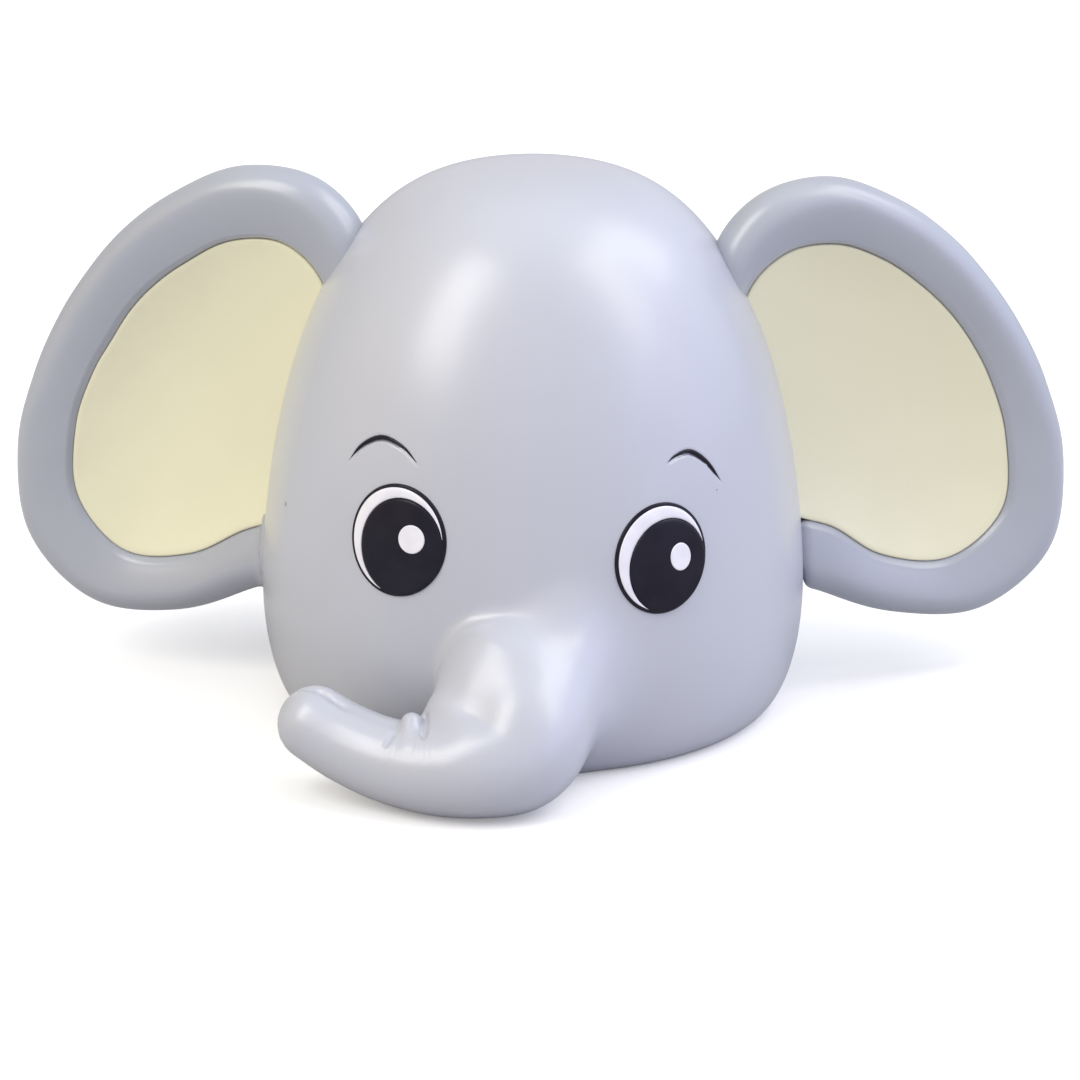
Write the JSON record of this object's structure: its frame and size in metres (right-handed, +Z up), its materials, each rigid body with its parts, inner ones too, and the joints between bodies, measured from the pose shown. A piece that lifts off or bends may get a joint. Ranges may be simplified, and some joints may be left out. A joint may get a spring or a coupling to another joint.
{
  "type": "animal coin bank",
  "caption": "Hollow animal-head coin bank with a curled trunk, set-in ears, a coin slot at the back and a twist-off stopper underneath.",
  "frame": {"origin": "on the table under the middle of the bounding box; the head's own vertical axis stands 12.8 mm behind it, on +Y", "axes": "+X to the animal's left ear, +Y to the back of the head, +Z up; the face looks along -Y"},
  "size_m": [0.2149, 0.1314, 0.1087],
  "materials": {
    "grey_vinyl": "satin",
    "cream_vinyl": "satin",
    "black_enamel": "gloss",
    "white_enamel": "gloss",
    "hard_plastic": "satin",
    "seal_rubber": "matte"
  },
  "bodies": {
    "head": {"head_shell": "grey_vinyl", "left_ear": "grey_vinyl", "right_ear": "grey_vinyl", "left_ear_panel": "cream_vinyl", "right_ear_panel": "cream_vinyl", "left_brow": "black_enamel", "right_brow": "black_enamel", "left_eye_disc": "black_enamel", "right_eye_disc": "black_enamel", "left_eye_white": "white_enamel", "right_eye_white": "white_enamel", "left_eye_glint": "white_enamel", "right_eye_glint": "white_enamel", "base_collar": "hard_plastic"},
    "gasket": {"stopper_gasket": "seal_rubber"},
    "stopper": {"stopper": "hard_plastic"}
  },
  "joints": [
    {"name": "stopper_pull", "type": "slide", "parent": "head", "child": "gasket", "axis": [0, 0, -1], "range_m": [0, 0.025]},
    {"name": "stopper_turn", "type": "hinge", "parent": "gasket", "child": "stopper", "pos_m": [0, 0.0128, 0.005], "axis": [0, 0, 1], "range_deg": [0, 60]}
  ]
}
